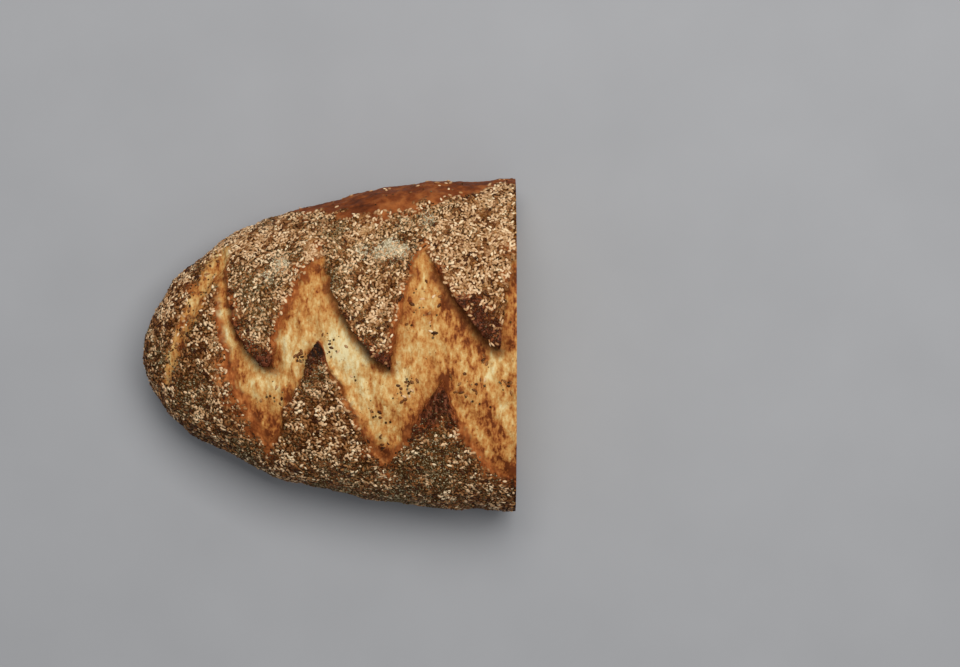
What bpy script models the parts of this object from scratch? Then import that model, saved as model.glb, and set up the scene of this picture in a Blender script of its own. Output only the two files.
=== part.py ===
"""Half of a long multigrain loaf, cut across the middle, lying on its flat base.

The nose points along -X, the cut face looks along +X and the crust's crest is up, +Z. The origin is on the table,
under the middle of the loaf's box. Lengths are in millimetres here and turn into metres when the mesh is made.
The crust has a zigzag score: bare dough that opened between three tongues of seeded crust on either side. The
tongues stand proud of it as ears.
"""

import math

import bmesh
import bpy
import numpy as np
from mathutils import Matrix, Vector
from mathutils.bvhtree import BVHTree
from mathutils.geometry import delaunay_2d_cdt

MM = 0.001

# Plain body
LENGTH = 180.6  # nose to cut face
HALF_WIDTH = 80.5  # at the cut face, where the loaf is widest
CREST = 78.5  # height of the plain crust over the table at the cut face
WAIST = 23.3  # height of the widest line
BELLY = 28.7  # how far the round underside would reach below the waist if the table didn't flatten it
PLAN_POWER = 2.08  # roundness of the outline seen from above
CREST_POWER = 2.4  # roundness of the crest line from the cut face down to the nose
KEEL_POWER = 3.5  # roundness of the underside where it lifts off the table at the nose
SECTION_POWER = 2.3  # roundness of the cross-section
NOSE_SIDESTEP = -5.5  # how far the nose's tip lies off the loaf's middle line
SIDESTEP_POWER = 8  # how late towards the nose it leaves that line
CUT_X = LENGTH / 2

# Score: edges of the bare band. Each edge runs on from the last corner to (x, y) and bulges by bow to its right,
# with the bulge moved along it by lean. lift is how far the ear stands up at that corner, from 0 to 1, and ease says
# how soon along the edge the ear takes that lift.
UPPER_START = (-50.4, 42.3, 0.10)
UPPER_EDGES = (
    # x, y, bow, lean, lift, ease
    (-24.6, -10.4, 15.0, 13.0, 0.80, 0.8),
    (-1.5, 41.3, -10.0, 0.0, 0.12, 0.3),
    (30.9, -10.8, 10.0, 5.0, 0.90, 0.8),
    (46.3, 46.0, -4.0, 0.0, 0.15, 0.3),
    (82.2, -1.8, 5.0, 12.0, 1.00, 0.8),
    (91.8, 48.8, -3.0, 0.0, 0.12, 0.3),
)
LOWER_START = (-52.2, 42.3, 0.10)
LOWER_EDGES = (
    (-26.6, -47.5, 14.0, -5.0, 0.15, 1.0),
    (-3.2, 1.0, 0.0, 0.0, 0.55, 2.0),
    (27.5, -57.0, 0.0, 0.0, 0.15, 0.5),
    (56.0, -16.5, 1.0, 0.0, 0.60, 2.0),
    (83.5, -61.2, 9.0, 0.0, 0.15, 0.5),
    (96.3, -63.2, 0.0, 0.0, 0.15, 1.0),
)
EAR_LIFT = 9.6  # height of a full ear's rim over the plain crust
EAR_RUN = 13.0  # how far back from the rim the lift fades
EAR_REACH = 2.4  # how far a full ear's rim overhangs the band
EAR_REACH_RUN = 4.0
GROOVE = 5.0  # depth of the band at the foot of a full ear
GROOVE_RUN = 8.0
GROOVE_TUCK = 1.2  # how far the band runs in under a full ear
GROOVE_TUCK_RUN = 3.0
BAND_SINK = 0.8
OVERHANG_SLOPE = (0.55, 0.8)  # upward parts of the normal between which an ear's overhang sets in
CUT_FADE = 7.0  # over this length the crust stops moving along X, so that the cut face stays flat
KEEL_FADE = 0.85  # value of v past which the relief fades towards the base
RIM_BLUR = 1.8  # length over which the ears of neighbouring edges melt into each other

# The thin slash across the nose
SLASH_START = (-51.2, 42.8)
SLASH_END = (-77.8, -17.8)
SLASH_BOW = 2.0
SLASH_HALF_WIDTH = 2.6
SLASH_DEPTH = 1.6

# Unevenness of the hand-shaped dough: wavelengths and directions of three gentle waves
SWELLS = ((61.0, 0.7, 0.4), (43.0, 2.1, 1.9), (33.0, 3.6, 4.4))
SWELL_HEIGHT = 0.45

# Mesh
SPACING = 4.3
RIM_SPACING = 3.2
RIM_GAP = 0.45  # half the width, seen from above, of the strip that becomes the ear's wall
LAST_RING = 0.955  # how far towards the nose the rings go, as a share of the quarter turn
ARC_SHARE = math.pi / 2  # the quarter turn that spans the length
HALF_GIRTH = 128.0  # way round the crust from the crest to the base at the cut face
RIM_CLEARANCE = 0.45  # share of the spacing that the mesh's own points keep from the lines of the score
FEWEST_ROWS = 9
WELD = 1e-4

# Seeds
SEED_COUNT = 200
SEED_SIZE = (3.3, 2.1, 1.5)
SEED_SINK = 0.12  # how deep a seed's middle lies under the crust
SEED_GAP = 7.4
SEED_RIM_GAP = 4.5
SEED_EDGE_GAP = 6.0
SEED_LOWEST = 14.0
SEED_TRIES = 12000
BARE_SIDE_TOP = 34.0  # the +Y flank is bare below this height, from this X to the cut face
BARE_SIDE_START = -36.0
RANDOM_SEED = 7


def unit(vectors):
    return vectors / np.maximum(np.linalg.norm(vectors, axis=-1, keepdims=True), 1e-9)


def smooth(low, high, value):
    ramp = np.clip((value - low) / (high - low), 0.0, 1.0)
    return ramp * ramp * (3 - 2 * ramp)


def bulged(start, end, bow, lean, count):
    """Points along a curve from start to end that bulges to the right of its direction by about bow / 2."""
    start, end = np.array(start), np.array(end)
    along = unit(end - start)
    right = np.array((along[1], -along[0]))
    middle = (start + end) / 2 + right * bow + along * lean
    t = np.linspace(0.0, 1.0, count)[:, None]
    return (1 - t) ** 2 * start + 2 * t * (1 - t) * middle + t**2 * end


def score_edge(start, edges):
    """One side of the band as points 1 mm apart or less, with the ear's lift at each."""
    points, lifts = [], []
    x, y, lift = start
    for end_x, end_y, bow, lean, end_lift, ease in edges:
        count = int(math.dist((x, y), (end_x, end_y)) * 1.2)
        points.append(bulged((x, y), (end_x, end_y), bow, lean, count)[:-1])
        lifts.append(lift + (end_lift - lift) * np.linspace(0, 1, count)[:-1] ** ease)
        x, y, lift = end_x, end_y, end_lift
    points.append(np.array([(x, y)]))
    lifts.append(np.array([lift]))
    return np.vstack(points), np.concatenate(lifts)


def to_band(points, side):
    """Unit vectors across an edge, from the crust into the band: side is 1 for the lower edge, -1 for the upper."""
    along = unit(np.gradient(points, axis=0))
    return np.stack((-along[:, 1], along[:, 0]), axis=1) * side


UPPER, UPPER_LIFT = score_edge(UPPER_START, UPPER_EDGES)
LOWER, LOWER_LIFT = score_edge(LOWER_START, LOWER_EDGES)
RIM = np.vstack((UPPER, LOWER))
RIM_LIFT = np.concatenate((UPPER_LIFT, LOWER_LIFT))
RIM_OUT = np.vstack((to_band(UPPER, -1), to_band(LOWER, 1)))
BAND = np.vstack((UPPER, LOWER[::-1]))
SLASH = bulged(SLASH_START, SLASH_END, SLASH_BOW, 0.0, 60)


def inside(points, polygon):
    """Whether each point lies in the closed polygon, by counting the sides to its right."""
    x, y = points[:, 0], points[:, 1]
    odd = np.zeros(len(points), bool)
    for (x0, y0), (x1, y1) in zip(polygon, np.roll(polygon, -1, axis=0)):
        if y0 != y1:
            crossing = ((y0 > y) != (y1 > y)) & (x < (x1 - x0) * (y - y0) / (y1 - y0) + x0)
            odd ^= crossing
    return odd


def rim_fields(plan):
    """Distance to the band's edge, positive on the crust, with the ear's lift and direction near each point."""
    gap = np.linalg.norm(plan[:, None, :] - RIM[None, :, :], axis=2)
    nearest = gap.min(axis=1)
    weight = np.exp((nearest[:, None] - gap) / RIM_BLUR)
    weight /= weight.sum(axis=1, keepdims=True)
    distance = np.where(inside(plan, BAND), -nearest, nearest)
    return distance, weight @ RIM_LIFT, unit(weight @ RIM_OUT)


def stations(phi):
    """Distance from the cut face as a share of the length, and the three taper factors there."""
    share = np.sin(phi) ** (2 / PLAN_POWER)
    return (
        share,
        np.cos(phi) ** (2 / PLAN_POWER),
        np.maximum(1 - share**CREST_POWER, 0) ** (1 / CREST_POWER),
        np.maximum(1 - share**KEEL_POWER, 0) ** (1 / KEEL_POWER),
    )


def turn_to_base(keel):
    """Angle from the crest round to the edge of the flat base, or half a turn where the loaf is off the table."""
    depth = BELLY * keel
    touching = depth > WAIST
    ratio = np.where(touching, WAIST / np.maximum(depth, 1e-6), 1.0)
    return np.pi - np.where(touching, np.arccos(ratio ** (SECTION_POWER / 2)), 0.0)


def plain(phi, v):
    """Point of the plain body. phi goes from 0 at the cut face to a quarter turn at the nose, v from -1 at the
    base's -Y edge over the crest to 1 at its +Y edge."""
    share, width, crest, keel = stations(phi)
    turn = v * turn_to_base(keel)
    power = 2 / SECTION_POWER
    side = np.sign(turn) * np.abs(np.sin(turn)) ** power
    rise = np.sign(np.cos(turn)) * np.abs(np.cos(turn)) ** power
    z = WAIST + rise * np.where(rise > 0, (CREST - WAIST) * crest, BELLY * keel)
    x = CUT_X - LENGTH * share
    y = NOSE_SIDESTEP * share**SIDESTEP_POWER + HALF_WIDTH * width * side
    return np.stack((x, y, np.maximum(z, 0.0)), axis=-1)


def place_on_plain(plan):
    """The (phi, v) of points given by x and y on the upper half of the body."""
    share = (CUT_X - plan[:, 0]) / LENGTH
    phi = np.arcsin(share ** (PLAN_POWER / 2))
    _, width, _, keel = stations(phi)
    side = (plan[:, 1] - NOSE_SIDESTEP * share**SIDESTEP_POWER) / (HALF_WIDTH * width)
    turn = np.sign(side) * np.arcsin(np.minimum(np.abs(side), 1.0) ** (SECTION_POWER / 2))
    return phi, turn / turn_to_base(keel)


def outward(phi, v):
    step = 1e-3
    across = plain(phi, np.minimum(v + step, 1)) - plain(phi, np.maximum(v - step, -1))
    along = plain(phi + step, v) - plain(np.maximum(phi - step, 0), v)
    return unit(np.cross(across, along))


def swell(plan):
    height = np.zeros(len(plan))
    for wavelength, direction, phase in SWELLS:
        way = plan[:, 0] * math.cos(direction) + plan[:, 1] * math.sin(direction)
        height += np.sin(2 * math.pi * way / wavelength + phase)
    return height * SWELL_HEIGHT


def crust(phi, v):
    """Point of the crust with its score, its ears and its unevenness."""
    base = plain(phi, v)
    normal = outward(phi, v)
    plan = base[:, :2]
    distance, lift, out = rim_fields(plan)
    on_crust = distance > 0
    away = np.abs(distance)
    height = np.where(
        on_crust,
        EAR_LIFT * lift * np.exp(-away / EAR_RUN),
        -GROOVE * lift * np.exp(-away / GROOVE_RUN) - BAND_SINK * (1 - np.exp(-away / GROOVE_RUN)),
    )
    reach = lift * np.where(
        on_crust, EAR_REACH * np.exp(-away / EAR_REACH_RUN), -GROOVE_TUCK * np.exp(-away / GROOVE_TUCK_RUN)
    )
    from_slash = np.linalg.norm(plan[:, None, :] - SLASH[None, :, :], axis=2).min(axis=1)
    height -= SLASH_DEPTH * np.exp(-((from_slash / SLASH_HALF_WIDTH) ** 2))
    height += swell(plan)
    off_table = smooth(0.0, WAIST * 1.3, base[:, 2]) * smooth(1.0, KEEL_FADE, np.abs(v))
    shift = normal * (height * off_table)[:, None]
    shift[:, :2] += out * (reach * smooth(*OVERHANG_SLOPE, normal[:, 2]))[:, None]
    shift[:, 0] *= smooth(0.0, CUT_FADE, CUT_X - base[:, 0])
    return base + shift


def column(phi):
    """Values of v round one column of the mesh, about SPACING apart on the loaf."""
    fine = plain(np.full(200, phi), np.linspace(-1, 1, 200))
    girth = np.linalg.norm(np.diff(fine, axis=0), axis=1).sum()
    return np.linspace(-1, 1, max(FEWEST_ROWS, round(girth / SPACING)))


def column_angles():
    """Columns from the cut face to the nose, one of them where the flat base ends."""
    lift_off = (WAIST / BELLY) ** KEEL_POWER
    base_end = math.asin(((1 - lift_off) ** (1 / KEEL_POWER)) ** (PLAN_POWER / 2))
    last = LAST_RING * math.pi / 2
    spacing = SPACING * ARC_SHARE / LENGTH
    on_base = round(base_end / spacing)
    beyond = round((last - base_end) / spacing)
    return np.linspace(0, base_end, on_base + 1), np.linspace(base_end, last, beyond + 1)[1:]


def thinned(points, gap):
    """The points of a line with those closer than gap to the last one left out."""
    kept = [points[0]]
    for point in points[1:]:
        if math.dist(point, kept[-1]) >= gap:
            kept.append(point)
    return np.array(kept)


def rim_lines():
    """Lines that the mesh follows: the ear's edge and the band's edge under it on either side of each line of the
    score, short of the cut face, and the middle and sides of the slash."""
    lines = []
    for points, side in ((UPPER, -1), (LOWER, 1)):
        across = to_band(points, side)
        for offset in (-RIM_GAP, RIM_GAP):
            line = points + across * offset
            line = line[line[:, 0] < CUT_X - SPACING / 2]
            lines.append(thinned(line, RIM_SPACING))
    across = to_band(SLASH, 1)
    for offset in (-SLASH_HALF_WIDTH, 0, SLASH_HALF_WIDTH):
        lines.append(thinned(SLASH + across * offset, RIM_SPACING))
    return lines


def body_mesh():
    """The half loaf without seeds, as a closed bmesh. Crust faces have material 0 and the cut face has material 1."""
    scale = np.array((LENGTH / ARC_SHARE, HALF_GIRTH))
    on_base, beyond = column_angles()
    angles = np.concatenate((on_base, beyond))
    lines = [np.stack(place_on_plain(line), axis=1) for line in rim_lines()]
    rim = np.vstack(lines) * scale
    points, columns = [], []
    for number, phi in enumerate(angles):
        rows = column(phi)
        spots = np.stack((np.full(len(rows), phi), rows), axis=1)
        to_rim = np.linalg.norm((spots * scale)[:, None, :] - rim[None, :, :], axis=2).min(axis=1)
        border_row = (np.abs(rows) == 1) | (number in (0, len(angles) - 1))
        kept = spots[(to_rim > SPACING * RIM_CLEARANCE) | border_row]
        columns.append(range(len(points), len(points) + len(kept)))
        points.extend(kept)
    border = []
    for left, right in zip(columns[:-1], columns[1:]):
        border += [(left[0], right[0]), (left[-1], right[-1])]
    for end in (columns[0], columns[-1]):
        border += list(zip(end[:-1], end[1:]))
    for line in lines:
        first = len(points)
        points.extend(line)
        border += [(first + i, first + i + 1) for i in range(len(line) - 1)]
    flat = [Vector(point * scale) for point in points]
    spots, _, triangles, origins, _, _ = delaunay_2d_cdt(flat, border, [], 1, 1e-6)
    spots = np.array([tuple(spot) for spot in spots]) / scale
    place = {origin: index for index, group in enumerate(origins) for origin in group}

    mesh = bmesh.new()
    corners = crust(spots[:, 0], np.clip(spots[:, 1], -1, 1))
    for keel in columns[len(on_base) - 1 :]:
        corners[place[keel[-1]]] = corners[place[keel[0]]]
    verts = [mesh.verts.new(corner) for corner in corners]
    for triangle in triangles:
        mesh.faces.new([verts[i] for i in triangle])
    nose = mesh.verts.new(plain(np.array([math.pi / 2]), np.array([0.0]))[0])
    last = [verts[place[i]] for i in columns[-1]]
    for first, second in zip(last[:-1], last[1:]):
        mesh.faces.new((first, second, nose))
    cut = mesh.faces.new([verts[place[i]] for i in columns[0]])
    cut.material_index = 1
    touching = columns[: len(on_base)]
    left = [verts[place[c[0]]] for c in touching]
    right = [verts[place[c[-1]]] for c in touching]
    mesh.faces.new(left + right[-2::-1])
    bmesh.ops.remove_doubles(mesh, verts=mesh.verts, dist=WELD)
    bmesh.ops.dissolve_degenerate(mesh, edges=mesh.edges, dist=WELD)
    bmesh.ops.triangulate(mesh, faces=mesh.faces, ngon_method="EAR_CLIP")
    bmesh.ops.recalc_face_normals(mesh, faces=mesh.faces)
    return mesh


def seed_mesh(size):
    """A flat, pointed seed: two rings of six corners between its two ends."""
    mesh = bmesh.new()
    half = Vector(size) / 2
    rings = []
    for x, girth in ((-0.45, 1.0), (0.35, 0.78)):
        angles = [2 * math.pi * i / 6 for i in range(6)]
        rings.append([mesh.verts.new((x * half.x, girth * half.y * math.cos(a), girth * half.z * math.sin(a)))
                      for a in angles])
    blunt = mesh.verts.new((-half.x, 0, 0))
    tip = mesh.verts.new((half.x, 0, 0))
    for i in range(6):
        j = (i + 1) % 6
        mesh.faces.new((blunt, rings[0][j], rings[0][i]))
        mesh.faces.new((rings[0][i], rings[0][j], rings[1][j], rings[1][i]))
        mesh.faces.new((tip, rings[1][i], rings[1][j]))
    bmesh.ops.triangulate(mesh, faces=mesh.faces)
    bmesh.ops.recalc_face_normals(mesh, faces=mesh.faces)
    return mesh


def seed_places(draw, body):
    """Places for the seeds on the crust, evenly spread: a point and the crust's normal there."""
    phi = np.arcsin(draw.uniform(0.0, 0.97, SEED_TRIES))
    v = draw.uniform(-0.9, 0.9, SEED_TRIES)
    base = plain(phi, v)
    distance, _, _ = rim_fields(base[:, :2])
    from_slash = np.linalg.norm(base[:, None, :2] - SLASH[None, :, :], axis=2).min(axis=1)
    good = (distance > SEED_RIM_GAP) & (from_slash > SEED_RIM_GAP)
    good &= (base[:, 2] > SEED_LOWEST) & (base[:, 0] < CUT_X - SEED_EDGE_GAP)
    good &= (base[:, 1] < 0) | (base[:, 2] > BARE_SIDE_TOP) | (base[:, 0] < BARE_SIDE_START)
    surface = BVHTree.FromBMesh(body)
    places = []
    for point in crust(phi[good], v[good]):
        spot, normal, _, _ = surface.find_nearest(Vector(point))
        if all((spot - other).length > SEED_GAP for other, _ in places):
            places.append((spot, normal))
        if len(places) == SEED_COUNT:
            break
    return places


def principled(name, colour, roughness):
    material = bpy.data.materials.new(name)
    material.use_nodes = True
    shader = material.node_tree.nodes["Principled BSDF"]
    shader.inputs["Base Color"].default_value = (*colour, 1.0)
    shader.inputs["Roughness"].default_value = roughness
    shader.inputs["Metallic"].default_value = 0.0
    material.diffuse_color = (*colour, 1.0)
    return material


def add_object(name, mesh, materials, collection):
    data = bpy.data.meshes.new(name)
    bmesh.ops.scale(mesh, vec=(MM, MM, MM), verts=mesh.verts)
    mesh.to_mesh(data)
    mesh.free()
    for material in materials:
        data.materials.append(material)
    thing = bpy.data.objects.new(name, data)
    collection.objects.link(thing)
    return thing


def add_seeds(body, materials):
    """The seeds in a collection of their own, each turned its own way in the plane of the crust."""
    collection = bpy.data.collections.new("seeds")
    bpy.context.scene.collection.children.link(collection)
    draw = np.random.default_rng(RANDOM_SEED)
    for number, (spot, up) in enumerate(seed_places(draw, body)):
        mesh = seed_mesh(np.array(SEED_SIZE) * draw.uniform(0.92, 1.08))
        for face in mesh.faces:
            face.material_index = 2
        turned = up.to_track_quat("Z", "X").to_matrix().to_4x4()
        turned = turned @ Matrix.Rotation(draw.uniform(0, 2 * math.pi), 4, "Z")
        turned.translation = spot - up * SEED_SINK
        bmesh.ops.transform(mesh, matrix=turned, verts=mesh.verts)
        add_object(f"seed_{number:03d}", mesh, materials, collection)
    return collection


def fuse(loaf, collection):
    union = loaf.modifiers.new("seeds", "BOOLEAN")
    union.operation = "UNION"
    union.operand_type = "COLLECTION"
    union.collection = collection
    union.solver = "EXACT"
    evaluated = loaf.evaluated_get(bpy.context.evaluated_depsgraph_get())
    fused = bpy.data.meshes.new_from_object(evaluated)
    loaf.modifiers.clear()
    loaf.data = fused
    for seed in list(collection.objects):
        bpy.data.objects.remove(seed, do_unlink=True)
    bpy.data.collections.remove(collection)


def main():
    for thing in list(bpy.data.objects):
        bpy.data.objects.remove(thing, do_unlink=True)
    materials = [
        principled("crust", (0.40, 0.20, 0.07), 0.7),
        principled("crumb", (0.62, 0.52, 0.33), 0.9),
        principled("seeds", (0.66, 0.52, 0.32), 0.6),
    ]
    body = body_mesh()
    seeds = add_seeds(body, materials)
    loaf = add_object("loaf", body, materials, bpy.context.scene.collection)
    fuse(loaf, seeds)
    loaf.data.name = "loaf"
    loaf.data.shade_smooth()
    loaf.data.set_sharp_from_angle(angle=math.radians(40))


main()
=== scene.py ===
"""Half of a multigrain loaf seen from above: browned crust with a zigzag score, seeds, and a pale cut face.

Lengths are in millimetres until a mesh is made. The loaf is modelled in the frame's own axes: nose at -X, cut
face at +X, crest up.
"""

import itertools
import math

import bmesh
import bpy
import numpy as np
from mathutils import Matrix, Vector, noise
from mathutils.geometry import delaunay_2d_cdt
from mathutils.kdtree import KDTree


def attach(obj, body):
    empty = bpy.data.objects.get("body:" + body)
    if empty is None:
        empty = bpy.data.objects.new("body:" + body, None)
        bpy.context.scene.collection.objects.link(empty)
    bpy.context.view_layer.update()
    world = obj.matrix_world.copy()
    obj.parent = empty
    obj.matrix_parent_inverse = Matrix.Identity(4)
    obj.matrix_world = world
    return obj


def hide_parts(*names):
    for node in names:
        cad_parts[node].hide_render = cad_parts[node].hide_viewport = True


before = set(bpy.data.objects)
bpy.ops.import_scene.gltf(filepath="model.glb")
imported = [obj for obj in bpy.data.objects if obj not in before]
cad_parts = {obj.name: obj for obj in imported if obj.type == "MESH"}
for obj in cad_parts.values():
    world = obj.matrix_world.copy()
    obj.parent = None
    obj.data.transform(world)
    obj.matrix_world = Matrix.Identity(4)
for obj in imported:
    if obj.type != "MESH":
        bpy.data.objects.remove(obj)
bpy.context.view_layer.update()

MM = 0.001
RANDOM_SEED = 11

# Plain body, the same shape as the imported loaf's
LENGTH = 180.6
HALF_WIDTH = 80.5
CREST = 78.5
WAIST = 23.3
BELLY = 28.7
PLAN_POWER = 2.08
CREST_POWER = 2.4
KEEL_POWER = 3.5
SECTION_POWER = 2.3
NOSE_SIDESTEP = -5.5
SIDESTEP_POWER = 8
CUT_X = LENGTH / 2
QUARTER = math.pi / 2

# Score: edges of the bare band, from corner to corner. bow and lean bulge an edge, lift and ease raise its
# ear, toast browns the band beside it and bare keeps the seeds back, each from its start to its end.
UPPER_START = (-50.4, 42.3, 0.10)
UPPER_EDGES = (
    # x, y, bow, lean, lift, ease, toast, bare
    (-24.6, -10.4, 15.0, 13.0, 0.80, 0.8, (0.42, 0.42), (3.4, 2.4)),
    (-1.5, 41.3, -10.0, 0.0, 0.12, 0.3, (0.70, 0.62), (3.6, 3.2)),
    (30.9, -10.8, 10.0, 5.0, 0.90, 0.8, (0.54, 0.16), (1.2, 1.0)),
    (46.3, 46.0, -4.0, 0.0, 0.15, 0.3, (0.80, 0.46), (4.2, 2.8)),
    (82.2, -1.8, 5.0, 12.0, 1.00, 0.8, (0.62, 0.80), (2.6, 1.6)),
    (91.8, 48.8, -3.0, 0.0, 0.12, 0.3, (0.78, 0.84), (1.8, 1.2)),
)
LOWER_START = (-52.2, 42.3, 0.10)
LOWER_EDGES = (
    (-26.6, -47.5, 14.0, -5.0, 0.15, 1.0, (0.38, 0.74), (0.8, 8.0)),
    (-3.2, 1.0, 0.0, 0.0, 0.55, 2.0, (0.74, 0.38), (1.6, 1.4)),
    (27.5, -57.0, 0.0, 0.0, 0.15, 0.5, (0.22, 0.62), (1.8, 3.4)),
    (56.0, -16.5, 1.0, 0.0, 0.60, 2.0, (0.80, 0.64), (3.4, 2.5)),
    (83.5, -61.2, 9.0, 0.0, 0.15, 0.5, (0.75, 0.72), (3.6, 4.5)),
    (96.3, -63.2, 0.0, 0.0, 0.15, 1.0, (0.90, 0.90), (2.5, 2.0)),
)
EAR_LIFT = 9.6
EAR_RUN = 13.0
EAR_REACH = 2.4
EAR_REACH_RUN = 4.0
GROOVE = 5.0
GROOVE_RUN = 8.0
GROOVE_TUCK = 1.2
GROOVE_TUCK_RUN = 3.0
BAND_SINK = 0.8
RIM_POINTS_PER_MM = 1.2
RIM_BLUR = 1.8
TOAST_BLUR = 5.5
RIM_ROUND = 1.05  # half the width over which an ear's rim turns down into the band
SOFT_ROUND = 2.8  # the same where the crust has no ear
SOFT_LIFT = (0.18, 0.5)  # lifts between which the one goes over into the other
OVERHANG_SLOPE = (0.55, 0.8)
CUT_FADE = 7.0
KEEL_FADE = 0.85
NOSE_FADE = 0.96

SLASH_START = (-51.2, 42.8)
SLASH_END = (-77.8, -17.8)
SLASH_BOW = 2.0
SLASH_HALF_WIDTH = 2.6
SLASH_DEPTH = 1.6
SLASH_TAPER = ((0.0, 6.0), (0.35, 5.0), (0.8, 3.6), (1.1, 1.0))  # half the width it tints, by the way along
SLASH_LEAST = 0.3
SLASH_FADE = (1.25, 0.6)  # shares of that width between which the tint sets in

# A thin seam in the bare band, where it tore twice
RIDGE = np.linspace((58.8, 1.0), (57.2, -21.5), 40)
RIDGE_HALF_WIDTH = 1.0
RIDGE_HEIGHT = 0.7
RIDGE_TOAST = 0.3

SWELLS = ((61.0, 0.7, 0.4), (43.0, 2.1, 1.9), (33.0, 3.6, 4.4))
SWELL_HEIGHT = 0.45
FULL_RELIEF = 1.3 * WAIST  # height from which the relief is no longer held back by the table

# Noise that makes the crust uneven, in layers: how strong it is, the size of its features, and its shift
EVEN = (1.0, 1.0, 1.0)
RIM_WOBBLE = ((1.0, 5.0, 13.0), (0.6, 1.9, 17.0))
SOFT_WOBBLE = (1.4, 0.6)  # added to those strengths where the crust has no ear
SLASH_WOBBLE = ((0.5, 3.0, 21.0),)
SLASH_FRAY = ((2.4, 4.0, 23.0), (1.0, 1.6, 25.0))
CRAGS = ((0.9, 13.0, 0.0), (0.6, 5.0, 7.0))
TEARS = ((1.0, 5.5, 3.0), (0.5, 2.2, 5.0))
TEAR_STRETCH = (0.6, 2.2, 1.0)
BLISTERS = ((0.3, 1.9, 9.0),)
FLANK_FRAY = ((7.0, 9.0, 2.0), (4.0, 3.0, 4.0))
BASE_CRAGS = ((0.5, 3.0, 31.0),)
BASE_RISE = 0.35

# Spots where the crust differs from what the score's edges say, each given by x, y, reach and strength

# Burnt crust
BURNT = (
    (-28, -5, 5, 0.95), (-34.5, 0.5, 4, 0.8), (-41, 8, 4.2, 0.85), (-44.5, 16, 4.4, 0.85),
    (-46.5, 25, 3.4, 0.65), (27, -7, 5.5, 1.05), (20.5, -1, 4.5, 0.9), (11, 13, 3.5, 0.7),
    (65, 19.5, 5, 1.0), (71, 20.5, 4, 0.9), (75, 15.5, 3.5, 0.95), (72.5, 13.5, 5.5, 1.05),
    (77, 8.5, 6, 1.05), (80.5, 3, 4, 0.7), (59, 27, 3.2, 0.55), (55.5, 34, 3.2, 0.6), (-3.6, -3, 6, 1.95),
    (-7, -12, 3.5, 0.85), (55.5, -27, 7.5, 1.2), (50, -34, 6, 1.05), (59, -36, 5, 0.75),
    (44.5, -40, 4.5, 0.8), (45.5, -32, 4, 0.9), (87, -64, 5, 0.6),
)
# Bare dough that is browner, or paler where the strength is below 0. The browner spots close beside the left
# edges of the ears and of a lower tongue are partly painted shade
BROWNED_AND_SHADED = (
    (52, -9, 5, 0.16), (67.4, 2, 3.6, 0.45), (72, -3, 2.4, 0.35), (85, 0, 3, 0.3), (86.8, 25, 5, 0.28),
    (24, -11, 3.8, 0.75), (21, -51, 3, 0.35), (26.5, -57, 3.5, 0.35), (-8, -3.5, 2.4, 0.45),
    (-44, 12, 3, 1.0), (-42.5, 4, 2.6, 0.7), (-46.4, 19, 2.2, 0.6), (75.5, -28, 2, 0.22),
    (76.8, -33, 2, 0.28), (79.5, -38, 2.2, 0.24), (27.5, -52, 6, 0.25), (86, -5, 3, 0.15),
    (80, -5, 4, -0.4), (44, 35, 6, -0.18), (85, -53, 8, 0.12), (-30, -38, 6, 0.15), (77.5, -13, 5, -0.5),
    (88, -10, 5, -0.45), (82.5, -31, 3.6, -0.45), (84, -37, 3, -0.35), (71, -24, 5, -0.12),
    (65, -8, 6, -0.1), (-51.5, 16, 4.5, -0.55), (-50, 5, 4, -0.45), (-53, 38, 6, 0.06), (-61, 22, 6, 0.06),
    (-74, -8, 8, 0.05), (-22, 3, 5, -0.36), (46, 15, 10, 0.14), (-8, 18, 9, 0.08), (24, -44, 8, 0.08),
    (0.5, 27, 3.2, 0.45), (-2, 35, 3.2, 0.3), (4.5, 18, 3, 0.3), (53, 34, 4, 0.4), (57.5, 26.5, 4.5, 0.45),
    (62, 19, 4.5, 0.35), (-26, -16, 5, -0.15), (9, -6, 9, -0.26), (53, 2, 6, -0.2), (38.5, -7, 4, 0.3),
    (38, -12, 6, -0.18), (-4, 35, 4, 0.12), (65, 10, 5, 0.3), (58, 20, 5, 0.2), (74, -1, 4, 0.1),
    (-18, -24, 3.5, 0.5), (-22.5, -34, 3, 0.3), (45, -33, 3.5, 0.35), (41, -41, 3, 0.3),
)
# Red-brown crust with few seeds; the spots from (-12, -18) to (-17, -30), along a lower tongue's left edge,
# are painted shade instead
RUDDY_AND_SHADED_PATCHES = (
    (-50, -9, 4.5, 0.9), (-49, -17, 5.5, 1), (-46, -26, 5, 1), (-42, -34, 4.5, 0.9), (-36, -41, 4.8, 1),
    (-28, -52, 5, 0.7), (-66, 27, 4.5, 0.9), (-43.5, 21, 4.6, 0.9), (-40, 13, 4, 0.7), (19, -51, 4, 0.9),
    (29, -63, 5.5, 0.9), (40, -46, 4, 0.7), (33.5, 8, 3.5, 0.8), (36, 20, 3.5, 0.8), (-12, -18, 3, 0.7),
    (-15, -24, 3.6, 0.9), (9.5, -28.5, 3.4, 0.6), (-13, 36, 4, 0.8), (61, 22, 3.6, 0.8), (-17, -30, 3, 0.7),
    (68, -46, 5, 0.8), (76, -60, 6, 0.8), (85, 32, 5, 0.8), (86, 45, 5, 0.7), (-3, 46, 5, 0.7),
    (38, 60, 4, 0.6), (33, 6, 4.2, 0.95), (-13, 27, 4, 0.6), (-20, 12, 3.5, 0.6), (54.5, 35.5, 3.4, 0.9),
)
# Pale crust with fine husks
CHALKY_PATCHES = (
    (17, 44.5, 4, 0.7), (25, 43.5, 4, 0.8), (31, 45, 5, 1), (36.5, 44, 4, 0.9), (-21.5, 37.5, 4.6, 0.9),
    (-27, 32, 4, 0.5), (11, 35.5, 3, 0.5), (48.5, 59, 3.5, 0.6),
)
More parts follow.
